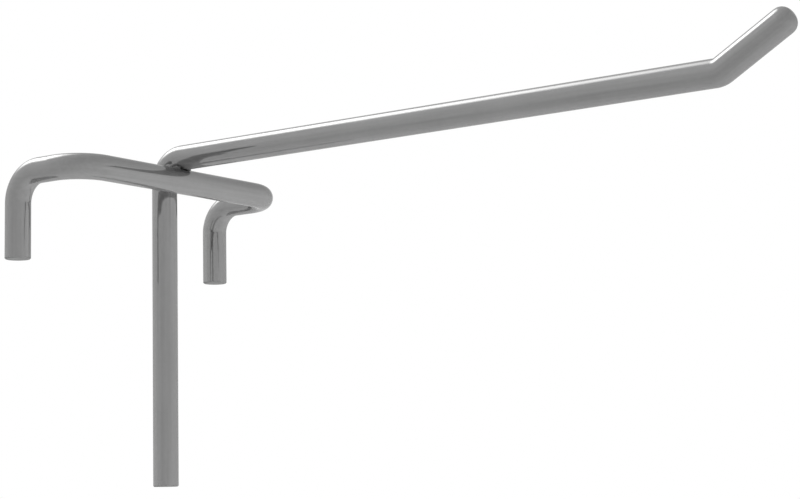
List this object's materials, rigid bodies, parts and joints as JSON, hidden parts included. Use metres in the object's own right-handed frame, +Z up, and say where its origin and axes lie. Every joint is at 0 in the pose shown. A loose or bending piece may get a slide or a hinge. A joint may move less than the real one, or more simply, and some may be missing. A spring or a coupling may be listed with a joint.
{
  "type": "gridwall hook",
  "caption": "Plated steel wire hook for a grid panel: a long peg with an upturned tip and a bracing leg, welded to a crossbar whose bent ends hang over a grid wire.",
  "frame": {"origin": "on the axis of the grid wire that the hook hangs on, midway between its two hook legs", "axes": "+Z up, -Y out of the wall along the peg, +X to the right as seen from the front"},
  "size_m": [0.088, 0.2152, 0.1051],
  "materials": {
    "plated_wire": "bright plated",
    "plated_weld": "plated weld metal"
  },
  "bodies": {
    "root": {"peg_wire": "plated_wire", "saddle_wire": "plated_wire", "weld_beads": "plated_weld"}
  },
  "joints": []
}
